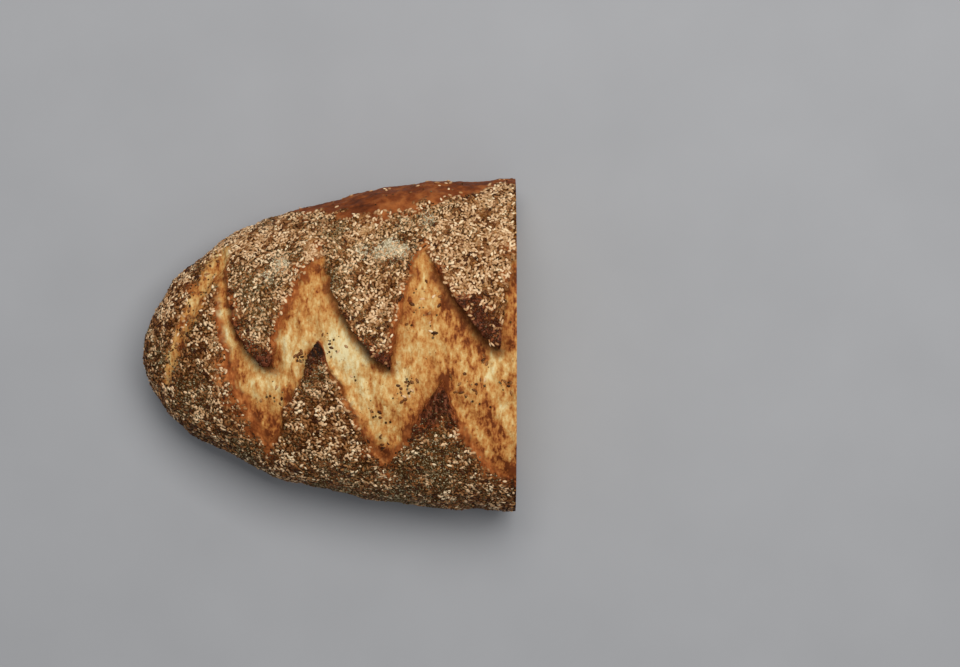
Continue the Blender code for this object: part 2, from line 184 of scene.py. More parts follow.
# Crowds of poppy seeds
POPPY_PATCHES = (
    (-35.5, 26, 8, 0.9), (-27, 31, 6, 0.9), (-31, 15, 7, 0.9), (-33, 7, 6, 0.8), (-20, 40, 6, 0.7),
    (1.5, 31, 7, 1), (8, 28, 6, 0.7), (14, 16, 4, 0.5), (30.5, 44.5, 7, 0.6), (4, 52, 7, 0.6),
    (47, 58, 5, 0.9), (37.5, 58.5, 5, 1), (-3, -12, 5, 0.9), (-6, -20, 5, 0.6), (14, -12, 5, 0.4),
    (51, -56, 17, 0.8), (-64, -24, 10, 0.7), (-76, -6, 7, 0.6), (-42, -52, 9, 0.6), (8, -70, 14, 0.8),
    (34, -72, 14, 0.9),
)
# Crowds of pale sesame seeds
SESAME_PATCHES = (
    (68, 38, 24, 1), (-32, 42, 8, 0.8), (-48, 50, 9, 0.7), (7, -46, 14, 0.6), (18, 20, 8, 0.5),
    (-55, -34, 8, 0.1), (-77, 17, 9, 1),
)
# Few seeds, so that the crust shows
THIN_PATCHES = (
    (20, 56, 8, 0.8), (-3.7, 50, 7, 0.9), (38, 60, 4.5, 0.8), (14, 47, 6, 0.4),
)
# Dark seeds that strayed onto the bare dough
SPECK_PATCHES = (
    (-11.5, -5.6, 1.8, 9), (40, -17.5, 2.6, 7), (36.5, -22, 3, 4), (51.6, 5.5, 1.8, 4),
    (84.7, -18.8, 2.2, 4), (75, -8, 2, 3), (14.6, -16.4, 1.2, 6), (4, 0, 6, 0.6), (31, -46, 6, 0.8),
    (25, -34, 5, 0.6), (-24, -24, 6, 0.6), (66, -20, 8, 0.5), (45, 20, 8, 0.4),
)

# The bare flank on the +Y side, baked against the next loaf: x and the height up to which it is bare
FLANK_LINE = (
    (-48.0, 8.0), (-34.0, 23.0), (-22.0, 36.0), (-10.0, 47.0), (-2.0, 51.0), (5.0, 56.0), (12.0, 58.0),
    (25.0, 60.0), (33.0, 60.0), (40.0, 59.5), (53.0, 57.0), (68.0, 49.0), (88.0, 42.0),
)
FLANK_START = (-48.0, -40.0)
FLANK_BLUR = 2.5
SEEDS_END = (18.0, 6.0)

# Distances from the rim between which the band's colour gives way to the crust's
TINT_EDGE = (-0.9, 0.6)
SOFT_TINT = (-2.6, 2.0)  # added to them where the crust has no ear

# Where the crust is painted darker, with fewer pale seeds, towards the nose and down the -Y side: partly
# painted shade, partly a darker brown crust
SHADED_NOSE = (-50.0, -64.0)
SHADED_SIDE = (-18.0, -36.0)

# Where it is paler instead: high on the +Y side beyond the first tongue, and where seeds are few
PALE_SIDE = (26.0, 44.0)
PALE_SIDE_START = (-22.0, -4.0)
PALE_SIDE_SHARE = 0.3
THIN_PALING = 1.1

# Painted shadow, partly browning: how strongly an ear darkens the dough beside it, by the way out from the
# ear: least of all towards +Y and +X
EAR_SHADOW_LEAST = 0.2
EAR_SHADOW_ACROSS = (0.35, -0.35)
EAR_SHADOW_LOSS = 0.75
EAR_SHADOW_ALONG = (0.1, 0.8)

CRUST_COLUMNS = 290
CRUST_ROWS = 324
BASE_ROWS = 22
BASE_LEAST = 1.0  # the base has faces of its own where it is wider than this
COLUMN_EASE = 1.12
CRUST_SHARE = 0.86  # of the unwrapped height
BASE_SHARE = 0.12
FLAT_MARGIN = 0.005
BASE_VALUES = {"under": 1.0, "tinted": 1.0, "rim": 30.0, "bare": 1.0}  # 0 in the other fields
MERGE_METRES = 2e-6

PALE_COUNT = 5100
TOASTED_COUNT = 6400  # at most: fewer find room before the tries run out
SESAME_SIZE = (2.6, 1.55, 0.9)
SESAME_VARIETY = (0.11, 0.7, 1.25)  # spread, least and most of a seed's size against the plain one
SESAME_RINGS = ((-0.36, 0.62), (-0.06, 1.0), (0.28, 0.66))
SESAME_GAP = 1.1
SESAME_SINK = (-0.2, 0.38)
SESAME_TILT = 0.24
POPPY_COUNT = 15500
POPPY_SIZE = (1.1, 1.0, 0.9)
POPPY_VARIETY = (0.08, 0.75, 1.25)
POPPY_RINGS = ((0.0, 1.0),)
POPPY_GAP = 0.75
POPPY_SINK = (-0.3, 0.3)
POPPY_TILT = 0.3
TRIES = 5  # spots tried for each seed that is wanted
NEIGHBOURS = tuple(itertools.product((-1, 0, 1), repeat=3))
STEEP = 0.9
TILE_MARGIN = 0.06

# Seeds that strayed onto the band, beyond a line this far from its rim
STRAY_LINE = -1.5
STRAY_EDGE = (-1.5, -3.5)
STRAY_PLAIN = 0.006
STRAY_SESAME = 0.025
STRAY_COUNT = 90
STRAY_GAP = 0.9
STRAY_TONES = (0.5, 1.0)
STRAY_SIZES = (0.6, 1.5)

# What the seeds go by besides the crust's own fields
MARGIN_EDGE = (1.3, 0.3)  # shares of the bare margin
CUT_EDGE = (1.9, 1.2)
RED_EDGE = (0.3, 0.8)
SCORCH_EDGE = (0.35, 0.8)
GAP_EDGE = (0.05, 0.35)
GAP_NOISE = (5.5, 41.0)
DRIFT_NOISE = (11.0, 47.0)

# The share of the seeds that each of them takes away
BARED_BY = {
    "margin": 1.0, "cut": 1.0, "under": 1.0, "flank": 0.996, "slash": 0.93,
    "thin": 0.75, "scorched": 0.75, "red": 0.7, "gap": 0.45,
}

# How thickly a kind of seed lies: plain, least and most, and what each field adds to the plain
# Sesame thins out towards the nose and down the -Y side, partly as painted shade
SESAME_COVER = (0.80, 0.08, 1.5, {"drift": 1.0, "sesames": 0.7, "poppies": -0.80, "side_shade_and_browning": -0.15})
SESAME_LOSS = 0.55  # where the crust is chalky
POPPY_COVER = (0.22, 0.03, 3.0, {"drift": -0.5, "sesames": -0.30, "poppies": 2.2, "chalk": 2.0})

# Which sesame seeds count as toasted: the darkest by these fields, by noise and by chance
# More of them towards the nose and down the -Y side, partly as painted shade
DARKENED_BY = {
    "scorched": 1.2, "sesames": -0.35, "chalk": -0.5, "poppies": 0.25, "side_shade_and_browning": 0.40, "strayed": 0.8,
}
DARK_NOISE = ((1.4, 6.0, 53.0), (0.8, 2.4, 59.0))

# How the tones of a kind spread and what the fields add to them
TONE_NOISE = ((0.6, 2.2, 61.0),)
SESAME_TONE = 0.08
# Tones also shift with the painted shade towards the nose and down the -Y side
PALE_TONES = ((2.0, 2.6), {"scorched": 0.7, "side_shade_and_browning": -0.02})
TOASTED_TONES = ((2.2, 2.2), {"scorched": 0.7, "side_shade_and_browning": 0.04})
POPPY_TONE = 0.28
POPPY_TONES = ((2.0, 2.0), {"poppies": -0.3, "chalk": -0.85})

CRUMB_SPACING = 0.6
ROW_PITCH = 0.866  # of the spacing
CRUMB_ROOM = 0.55  # of the spacing, between the outline and the points inside it
CRUMB_JITTER = 0.08
CRUMB_SINK = 0.22
CRUMB_DENTS = ((0.22, 5.0, 3.0), (0.22, 1.3, 6.0))
CRUMB_SPAN = 1.02  # how much wider the unwrapped square is than the cut face
CRUMB_SOFT_EDGE = 1.2
RING_POINTS = 14  # to each side of the outline

PORE_COUNT = 2000
PORE_RADII = (0.35, 1.3, 6)  # least, what may be added, and how rare the large ones are
PORE_STRETCH = (1.0, 2.3)
PORE_TURN = 0.9
PORE_ROOM = (0.7, 1.4)  # of its length, and more, between its middle and the outline
PORE_DEPTH = (0.6, 1.2)  # of its radius, and at most
PORE_WARP = 1.5
PORE_WARP_NOISE = ((2.6, 15.0), (2.6, 19.0))
PORE_FIELD = 1.6
BIG_PORE_COUNT = 26
BIG_PORE_RADII = (1.3, 2.6)

GRAIN_COUNT = 230
GRAIN_LENGTHS = (1.1, 3.4, 2.2)
GRAIN_WIDTHS = (0.42, 0.72)  # of the length
GRAIN_HEIGHT = (0.35, 0.16)  # plain, and more by the length
GRAIN_RINGS = ((-0.38, 0.7), (-0.12, 1.0), (0.18, 0.92), (0.4, 0.6))
GRAIN_LUMPS = 0.14
GRAIN_ROOM = 3.0
GRAIN_SINK = 0.22
GRAIN_TILT = 0.16
STAIN_REACH = 0.62  # of a grain's length

# Roughness, gloss, size and detail of the mottling, how much it makes the tone swing, and the colours by tone
PALE_FINISH = (
    0.4, 0.18, 0.8, 2.0, 0.4,
    (0.0, 236, 210, 170), (0.35, 214, 176, 134), (0.7, 184, 142, 98), (1.0, 148, 103, 64),
)
TOASTED_FINISH = (
    0.4, 0.12, 0.8, 2.0, 0.4,
    (0.0, 178, 131, 84), (0.35, 142, 94, 52), (0.7, 104, 60, 26), (1.0, 60, 29, 9),
)
POPPY_FINISH = (
    0.55, 0.06, 0.35, 2.0, 0.4,
    (0.0, 198, 186, 154), (0.25, 153, 139, 107), (0.5, 115, 98, 68), (0.75, 80, 56, 28), (1.0, 53, 29, 8),
)
GRAIN_FINISH = (
    0.55, 0.4, 1.2, 3.0, 0.5,
    (0.0, 176, 138, 94), (0.35, 144, 102, 66), (0.7, 104, 68, 45), (1.0, 60, 40, 32),
)

PHOTO_WIDTH = 960
PIXELS_PER_MM = 2.0  # on the table
CAMERA_HEIGHT = 1200.0
CAMERA_SPOT = (73.05, 5.3)
SENSOR = 36.0
CLIP_METRES = 20.0

FLOOR_HALF = 4000.0
FLOOR_Z = -0.2
WINDOW_METRES = (1.1, 0.7)
WINDOW_SPOT = (0.24, 0.42, 1.25)
WINDOW_AIM = (0.0, 0.0, 0.03)
WINDOW_WATTS = 16.8
WINDOW_COLOUR = (1.0, 0.98, 0.95)
ROOM_COLOUR = (0.93, 0.96, 1.0, 1.0)
ROOM_LIGHT = 0.35


def unit(vectors):
    return vectors / np.maximum(np.linalg.norm(vectors, axis=-1, keepdims=True), 1e-9)


def smooth(low, high, value):
    ramp = np.clip((value - low) / (high - low), 0.0, 1.0)
    return ramp * ramp * (3 - 2 * ramp)


def bulged(start, end, bow, lean, count):
    """Points along a curve from start to end that bulges to the right of its direction by about bow / 2."""
    start, end = np.array(start), np.array(end)
    along = unit(end - start)
    right = np.array((along[1], -along[0]))
    middle = (start + end) / 2 + right * bow + along * lean
    t = np.linspace(0.0, 1.0, count)[:, None]
    return (1 - t) ** 2 * start + 2 * t * (1 - t) * middle + t**2 * end


def score_edge(start, edges):
    """One side of the band as points 1 mm apart or less, with lift, toast and bare at each."""
    points, traits = [], []
    x, y, lift = start
    for end_x, end_y, bow, lean, end_lift, ease, toast, bare in edges:
        count = int(math.dist((x, y), (end_x, end_y)) * RIM_POINTS_PER_MM)
        way = np.linspace(0, 1, count)[:-1]
        points.append(bulged((x, y), (end_x, end_y), bow, lean, count)[:-1])
        lifts = lift + (end_lift - lift) * way**ease
        browns = toast[0] + (toast[1] - toast[0]) * way
        margins = bare[0] + (bare[1] - bare[0]) * way
        traits.append(np.stack((lifts, browns, margins), axis=1))
        x, y, lift = end_x, end_y, end_lift
    points.append(np.array([(x, y)]))
    traits.append(traits[-1][-1:])
    return np.vstack(points), np.vstack(traits)


def to_band(points, side):
    along = unit(np.gradient(points, axis=0))
    return np.stack((-along[:, 1], along[:, 0]), axis=1) * side


UPPER, UPPER_TRAITS = score_edge(UPPER_START, UPPER_EDGES)
LOWER, LOWER_TRAITS = score_edge(LOWER_START, LOWER_EDGES)
RIM = np.vstack((UPPER, LOWER))
RIM_TRAITS = np.vstack((UPPER_TRAITS, LOWER_TRAITS))
RIM_OUT = np.vstack((to_band(UPPER, -1), to_band(LOWER, 1)))
BAND = np.vstack((UPPER, LOWER[::-1]))
SLASH = bulged(SLASH_START, SLASH_END, SLASH_BOW, 0.0, 60)


def inside(points, polygon):
    x, y = points[:, 0], points[:, 1]
    odd = np.zeros(len(points), bool)
    for (x0, y0), (x1, y1) in zip(polygon, np.roll(polygon, -1, axis=0)):
        if y0 != y1:
            odd ^= ((y0 > y) != (y1 > y)) & (x < (x1 - x0) * (y - y0) / (y1 - y0) + x0)
    return odd


def in_parts(measure, points, size=6000):
    """measure(points), worked out a part at a time so that its tables stay small."""
    parts = np.array_split(points, max(1, len(points) // size))
    return np.concatenate([measure(part) for part in parts])


def distance_to(line):
    return lambda points: np.linalg.norm(points[:, None, :] - line[None, :, :], axis=2).min(axis=1)


def rim_fields(plan):
    """Distance to the band's edge, above 0 on the crust, lift, toast, bare and the way out to the band."""

    def measure(part):
        gap = np.linalg.norm(part[:, None, :] - RIM[None, :, :], axis=2)
        nearest = gap.min(axis=1)
        close = np.exp((nearest[:, None] - gap) / RIM_BLUR)
        close /= close.sum(axis=1, keepdims=True)
        wide = np.exp((nearest[:, None] - gap) / TOAST_BLUR)
        wide /= wide.sum(axis=1, keepdims=True)
        signed = np.where(inside(part, BAND), -nearest, nearest)
        lift, toast, bare = close @ RIM_TRAITS[:, 0], wide @ RIM_TRAITS[:, 1], close @ RIM_TRAITS[:, 2]
        return np.column_stack((signed, lift, toast, bare, unit(close @ RIM_OUT)))

    table = in_parts(measure, plan)
    return *table[:, :4].T, table[:, 4:]


def stations(phi):
    share = np.sin(phi) ** (2 / PLAN_POWER)
    return (
        share,
        np.abs(np.cos(phi)) ** (2 / PLAN_POWER),
        np.maximum(1 - share**CREST_POWER, 0) ** (1 / CREST_POWER),
        np.maximum(1 - share**KEEL_POWER, 0) ** (1 / KEEL_POWER),
    )


def turn_to_base(keel):
    depth = BELLY * keel
    touching = depth > WAIST
    ratio = np.where(touching, WAIST / np.maximum(depth, 1e-6), 1.0)
    return np.pi - np.where(touching, np.arccos(ratio ** (SECTION_POWER / 2)), 0.0)


def plain(phi, v):
    """Points of the plain body. phi goes from 0 at the cut to a quarter turn at the nose, and v from -1 at
    the base's -Y edge over the crest to 1 at its +Y edge."""
    share, width, crest, keel = stations(phi)
    turn = v * turn_to_base(keel)
    power = 2 / SECTION_POWER
    side = np.sign(turn) * np.abs(np.sin(turn)) ** power
    rise = np.sign(np.cos(turn)) * np.abs(np.cos(turn)) ** power
    z = WAIST + rise * np.where(rise > 0, (CREST - WAIST) * crest, BELLY * keel)
    x = CUT_X - LENGTH * share
    y = NOSE_SIDESTEP * share**SIDESTEP_POWER + HALF_WIDTH * width * side
    return np.stack((x, y, np.maximum(z, 0.0)), axis=-1)


def outward(phi, v):
    step = 1e-3
    across = plain(phi, np.minimum(v + step, 1)) - plain(phi, np.maximum(v - step, -1))
    along = plain(np.minimum(phi + step, QUARTER), v) - plain(np.maximum(phi - step, 0), v)
    return unit(np.cross(across, along))


def swell(plan):
    height = np.zeros(len(plan))
    for wavelength, direction, phase in SWELLS:
        way = plan[:, 0] * math.cos(direction) + plan[:, 1] * math.sin(direction)
        height += np.sin(2 * math.pi * way / wavelength + phase)
    return height * SWELL_HEIGHT


def grain(points, size, shift, stretch=EVEN):
    """Smooth noise of about -0.5 to 0.5 at the points, with features of about the given size."""
    spots = (points / (size * np.array(stretch)) + shift).tolist()
    return np.array([noise.noise(Vector(spot)) for spot in spots])


def layered(points, layers, start=0.0):
    """Layers of noise added up, and added to start."""
    return sum((strength * grain(points, size, shift) for strength, size, shift in layers), start)


def nearness(plan, x, y, reach):
    return np.exp(-(((plan[:, 0] - x) ** 2 + (plan[:, 1] - y) ** 2) / reach**2))


def patches(plan, spots):
    """The strongest that any of the spots is felt at each point. A spot is x, y, reach, strength."""
    felt = np.zeros(len(plan))
    for x, y, reach, strength in spots:
        felt = np.maximum(felt, strength * nearness(plan, x, y, reach))
    return felt


def rim_relief(distance, lift, soft):
    """How high the crust stands along the band's edge, how far it reaches out, and the share that is band."""
    away = np.abs(distance)
    fold = RIM_ROUND + (SOFT_ROUND - RIM_ROUND) * soft
    turned = smooth(-fold, fold, distance)
    raised = EAR_LIFT * lift * np.exp(-away / EAR_RUN)
    sunk = -GROOVE * lift * np.exp(-away / GROOVE_RUN) - BAND_SINK * (1 - np.exp(-away / GROOVE_RUN))
    forward = EAR_REACH * np.exp(-away / EAR_REACH_RUN)
    tucked = -GROOVE_TUCK * np.exp(-away / GROOVE_TUCK_RUN)
    height = sunk + (raised - sunk) * turned
    reach = lift * (tucked + (forward - tucked) * turned)
    return height, reach, 1 - turned


def slash_fields(base):
    """How far the slash sinks in at each point, and how strongly it tints the crust."""
    away = in_parts(distance_to(SLASH), base[:, :2])
    depth = SLASH_DEPTH * np.exp(-(((away + layered(base, SLASH_WOBBLE)) / SLASH_HALF_WIDTH) ** 2))
    way = (SLASH_START[1] - base[:, 1]) / (SLASH_START[1] - SLASH_END[1])
    width = layered(base, SLASH_FRAY, np.interp(way, *zip(*SLASH_TAPER)))
    return depth, smooth(*SLASH_FADE, away / np.maximum(width, SLASH_LEAST))


def flank_field(base):
    top = layered(base, FLANK_FRAY, np.interp(base[:, 0], *zip(*FLANK_LINE)))
    low = smooth(FLANK_BLUR, -FLANK_BLUR, base[:, 2] - top)
    return low * (base[:, 1] > 0) * smooth(*FLANK_START, base[:, 0])


# Painted shade, partly darker crust, towards the nose and down the -Y side; less of it high on the +Y side
# and where seeds are few
def side_shade_and_browning_field(plan):
    side_shade_and_browning = np.maximum(smooth(*SHADED_NOSE, plan[:, 0]), smooth(*SHADED_SIDE, plan[:, 1]))
    side_shade_and_browning -= PALE_SIDE_SHARE * smooth(*PALE_SIDE, plan[:, 1]) * smooth(*PALE_SIDE_START, plan[:, 0])
    return side_shade_and_browning - THIN_PALING * patches(plan, THIN_PATCHES)


# Painted shadow: how much of an ear's shadow falls on the band beside it, by the way out from the rim
def ear_shadow_side_field(out):
    across = EAR_SHADOW_LEAST + (1 - EAR_SHADOW_LEAST) * smooth(*EAR_SHADOW_ACROSS, out[:, 1])
    return across * (1 - EAR_SHADOW_LOSS * smooth(*EAR_SHADOW_ALONG, out[:, 0]))


def crust_fields(phi, v):
    """Points of the crust, and everything that its colours and seeds go by at each."""
    base = plain(phi, v)
    normal = outward(phi, v)
    plan = base[:, :2]
    distance, lift, toast, bare, out = rim_fields(plan)
    soft = 1 - smooth(*SOFT_LIFT, lift)
    for (strength, size, shift), more in zip(RIM_WOBBLE, SOFT_WOBBLE):
        distance = distance + (strength + more * soft) * grain(base, size, shift)

    height, reach, on_band = rim_relief(distance, lift, soft)
    slash_depth, slash = slash_fields(base)
    ridge = np.exp(-((in_parts(distance_to(RIDGE), plan) / RIDGE_HALF_WIDTH) ** 2))
    height += RIDGE_HEIGHT * ridge
    height -= slash_depth
    height += swell(plan)
    height += layered(base, CRAGS)
    for strength, size, shift in TEARS:
        height += on_band * strength * grain(base, size, shift, TEAR_STRETCH)
    for strength, size, shift in BLISTERS:
        height += (1 - on_band) * strength * grain(base, size, shift)
    off_table = smooth(0.0, FULL_RELIEF, base[:, 2]) * smooth(1.0, KEEL_FADE, np.abs(v))
    off_table *= smooth(1.0, NOSE_FADE, phi / QUARTER)
    moved = normal * (height * off_table)[:, None]
    moved[:, :2] += out * (reach * smooth(*OVERHANG_SLOPE, normal[:, 2]))[:, None]
    moved[:, 0] *= smooth(0.0, CUT_FADE, CUT_X - base[:, 0])

    toast = toast + RIDGE_TOAST * ridge
    # Browner or paler spots on the band, some of them painted shade beside the ears
    for x, y, spread, change in BROWNED_AND_SHADED:
        toast = toast + change * nearness(plan, x, y, spread)
    fields = {
        "rim": distance,
        "tinted": smooth(*(edge + more * soft for edge, more in zip(TINT_EDGE, SOFT_TINT)), distance),
        "lift": lift,
        "toast": toast,
        "bare": bare,
        "slash": slash,
        "burnt": patches(plan, BURNT),
        "ruddy_and_shaded": patches(plan, RUDDY_AND_SHADED_PATCHES),
        "chalk": patches(plan, CHALKY_PATCHES),
        "side_shade_and_browning": side_shade_and_browning_field(plan),
        "poppies": patches(plan, POPPY_PATCHES),
        "ear_shadow_side": ear_shadow_side_field(out),
        "flank": flank_field(base),
        "under": smooth(*SEEDS_END, base[:, 2]),
    }
    return base + moved, fields


def linked(name, vertices, faces, corner_uv=None):
    """A new object of the given mesh, in millimetres. corner_uv has a row for each face corner."""
    data = bpy.data.meshes.new(name)
    data.from_pydata((np.asarray(vertices) * MM).tolist(), [], np.asarray(faces).tolist())
    if corner_uv is not None:
        layer = data.uv_layers.new(name="OFBake")
        layer.data.foreach_set("uv", np.asarray(corner_uv, dtype=np.float32).ravel())
    data.shade_smooth()
    piece = bpy.data.objects.new(name, data)
    bpy.context.scene.collection.objects.link(piece)
    return piece


def paint(piece, fields):
    """Stores each field as a value per vertex, for the finish to read."""
    for name, values in fields.items():
        layer = piece.data.attributes.new(name, "FLOAT", "POINT")
        layer.data.foreach_set("value", np.asarray(values, dtype=np.float32))


def sheet_of(numbers):
    """The four-cornered faces of a table of vertex numbers."""
    corners = (numbers[:-1, :-1], numbers[:-1, 1:], numbers[1:, 1:], numbers[1:, :-1])
    return np.stack(corners, axis=-1).reshape(-1, 4)


def even_faces(piece, merge=0.0, forward=False):
    """Joins vertices within merge metres, then turns the faces the same way round, to +X if forward."""
    mesh = bmesh.new()
    mesh.from_mesh(piece.data)
    if merge:
        bmesh.ops.remove_doubles(mesh, verts=mesh.verts, dist=merge)
    bmesh.ops.recalc_face_normals(mesh, faces=mesh.faces)
    if forward and sum(face.normal.x for face in mesh.faces) < 0:
        bmesh.ops.reverse_faces(mesh, faces=mesh.faces)
    mesh.to_mesh(piece.data)
    mesh.free()


def make_crust():
    """The crust as one shell, open only at the cut. Returns it with its grid of points and its fields."""
    phi = QUARTER * np.linspace(0.0, 1.0, CRUST_COLUMNS) ** COLUMN_EASE
    v = np.linspace(-1.0, 1.0, CRUST_ROWS)
    grid_phi, grid_v = (a.ravel() for a in np.meshgrid(phi, v, indexing="ij"))
    points, fields = crust_fields(grid_phi, grid_v)
    grid = points.reshape(CRUST_COLUMNS, CRUST_ROWS, 3)
    uv = np.stack((grid_phi / QUARTER, CRUST_SHARE * 0.5 * (grid_v + 1)), axis=1)

    on_base = int((grid[:, 0, 1] < grid[:, -1, 1] - BASE_LEAST).sum())
    way = np.linspace(0.0, 1.0, BASE_ROWS + 1)[None, :, None]
    base = grid[:on_base, -1:, :] * (1 - way) + grid[:on_base, :1, :] * way
    rough = np.maximum(layered(base.reshape(-1, 3), BASE_CRAGS, BASE_RISE), 0).reshape(on_base, -1)
    rough[:, [0, -1]] = 0.0
    base[:, :, 2] += rough
    base_points = base.reshape(-1, 3)
    base_way = np.broadcast_arrays(phi[:on_base, None] / QUARTER, 1 - BASE_SHARE * way[:, :, 0])
    base_uv = np.stack(base_way, axis=-1).reshape(-1, 2)

    numbers = np.arange(len(points)).reshape(CRUST_COLUMNS, CRUST_ROWS)
    base_numbers = len(points) + np.arange(len(base_points)).reshape(on_base, BASE_ROWS + 1)
    faces = np.vstack((sheet_of(numbers), sheet_of(base_numbers)))
    uv = FLAT_MARGIN + (1 - 2 * FLAT_MARGIN) * np.vstack((uv, base_uv))
    piece = linked("crust", np.vstack((points, base_points)), faces, uv[faces.ravel()])
    whole = {
        name: np.concatenate((values, np.full(len(base_points), BASE_VALUES.get(name, 0.0))))
        for name, values in fields.items()
    }
    paint(piece, whole)
    even_faces(piece, merge=MERGE_METRES)
    fields = {name: values.reshape(CRUST_COLUMNS, CRUST_ROWS) for name, values in fields.items()}
    outline = np.vstack((grid[0], base_points[1:BASE_ROWS]))
    return piece, grid, fields, outline


def pod(rings, around):
    """A closed seed 1 long, wide and high: its points, triangles and their flat layout. A ring is where along
    the seed it is, from -0.5 to 0.5, and its girth."""
    points = [(-0.5, 0.0, 0.0)]
    for number, (x, girth) in enumerate(rings):
        for i in range(around):
            angle = 2 * math.pi * (i + 0.5 * number) / around
            points.append((x, girth / 2 * math.cos(angle), girth / 2 * math.sin(angle)))
    points.append((0.5, 0.0, 0.0))
    tip, high = len(points) - 1, len(rings) + 1
    faces = []
    for i in range(around):
        for level in range(high):
            if level > 0:
                faces.append(((level, i), (level, i + 1), (level + 1, i)))
            if level < high - 1:
                faces.append(((level, i + (level > 0)), (level + 1, i + 1), (level + 1, i)))

    def point(level, turn):
        return min(1 + (level - 1) * around + turn % around, tip) if level else 0

    def spot(level, turn):
        return level / high, (turn + 0.5 * max(level - 1, 0)) / (around + len(rings) / 2)

    triangles, layout = ([[place(*corner) for corner in face] for face in faces] for place in (point, spot))
    return np.array(points), np.array(triangles), np.array(layout)


def strew(name, shape, spots, ups, sizes, tones, draw, tilt, sink):
    """One piece with a copy of the shape at each spot, lying on the surface that ups point out of. tilt is
    how far the copies lean, and sink how far they are let in, as a share of their height."""
    points, triangles, layout = shape
    count = len(spots)
    ups = unit(ups + draw.normal(0.0, tilt, (count, 3)))
    spin = draw.uniform(0.0, 2 * math.pi, (count, 1))
    across = unit(np.cross(ups, np.where(np.abs(ups[:, 2:]) < STEEP, (0.0, 0.0, 1.0), (1.0, 0.0, 0.0))))
    front = np.cross(ups, across)
    along = across * np.cos(spin) + front * np.sin(spin)
    side = np.cross(ups, along)
    turned = np.stack((along, side, ups), axis=1)
    local = points[None] * sizes[:, None, :]
    let_in = ups * sizes[:, 2:] * np.broadcast_to(sink, count)[:, None]
    placed = np.einsum("nki,nij->nkj", local, turned) + (spots - let_in)[:, None, :]
    faces = triangles[None] + len(points) * np.arange(count)[:, None, None]
    cells = math.ceil(math.sqrt(count))
    cell = np.stack((np.arange(count) % cells, np.arange(count) // cells), axis=1)
    uv = (cell[:, None, None, :] + TILE_MARGIN + (1 - 2 * TILE_MARGIN) * layout[None]) / cells
    piece = linked(name, placed.reshape(-1, 3), faces.reshape(-1, 3), uv.reshape(-1, 2))
    paint(piece, {"tone": np.repeat(tones, len(points))})
    return piece


def scatter(grid, density, count, gap, draw):
    """Spots on the crust at least gap apart, more of them where density is higher, with the way out of the
    crust and the cell of the grid at each."""
    low, far, high, side = grid[:-1, :-1], grid[1:, :-1], grid[1:, 1:], grid[:-1, 1:]
    out = np.cross(side - far, high - low)
    weight = np.linalg.norm(out, axis=2).ravel() * density
    chances = np.cumsum(weight) / weight.sum()
    tries = count * TRIES
    cells = np.minimum(np.searchsorted(chances, draw.random(tries)), len(weight) - 1)
    s, t = draw.random((2, tries, 1))
    low, far, high, side, out = (table.reshape(-1, 3)[cells] for table in (low, far, high, side, out))
    spots = (low * (1 - s) + far * s) * (1 - t) + (side * (1 - s) + high * s) * t
    kept, taken = [], {}
    for number, spot in enumerate((spots / gap).tolist()):
        x, y, z = (math.floor(way) for way in spot)
        about = (taken.get((x + i, y + j, z + k), ()) for i, j, k in NEIGHBOURS)
        if all(math.dist(spot, other) >= 1.0 for others in about for other in others):
            taken.setdefault((x, y, z), []).append(spot)
            kept.append(number)
        if len(kept) == count:
            break
    return spots[kept], unit(out[kept]), cells[kept]


def cell_values(field):
    return ((field[:-1, :-1] + field[1:, :-1] + field[1:, 1:] + field[:-1, 1:]) / 4).ravel()


def seed_fields(grid, fields):
    """What the seeds go by in each cell of the grid: the crust's fields, and more of their own."""
    value = {name: cell_values(field) for name, field in fields.items()}
    middle = ((grid[:-1, :-1] + grid[1:, 1:]) / 2).reshape(-1, 3)
    value["margin"] = smooth(*MARGIN_EDGE, value["rim"] / value["bare"])
    value["cut"] = smooth(*CUT_EDGE, CUT_X - middle[:, 0])
    value["red"] = smooth(*RED_EDGE, value["ruddy_and_shaded"])
    value["scorched"] = smooth(*SCORCH_EDGE, value["burnt"])
    value["thin"] = patches(middle, THIN_PATCHES)
    value["sesames"] = patches(middle, SESAME_PATCHES)
    value["gap"] = smooth(*GAP_EDGE, grain(middle, *GAP_NOISE))
    value["drift"] = grain(middle, *DRIFT_NOISE)
    value["strayed"] = value["rim"] < STRAY_LINE
    value["band"] = smooth(*STRAY_EDGE, value["rim"]) * (STRAY_PLAIN + patches(middle, SPECK_PATCHES))
    value["kept"] = math.prod(1 - share * value[name] for name, share in BARED_BY.items())
    return value


def weighed(value, weights, cells=slice(None)):
    """The fields that weights name, in the given cells, each times its weight and added up."""
    return sum(weight * value[name][cells] for name, weight in weights.items())


def cover(value, usual, least, most, weights):
    """How thickly a kind of seed lies in each cell."""
    return np.clip(usual + weighed(value, weights), least, most) * value["kept"]


def varied(size, spread, least, most, shape, draw):
    """Sizes that spread about the given one, from least to most times it."""
    return np.array(size) * draw.normal(1.0, spread, shape).clip(least, most)


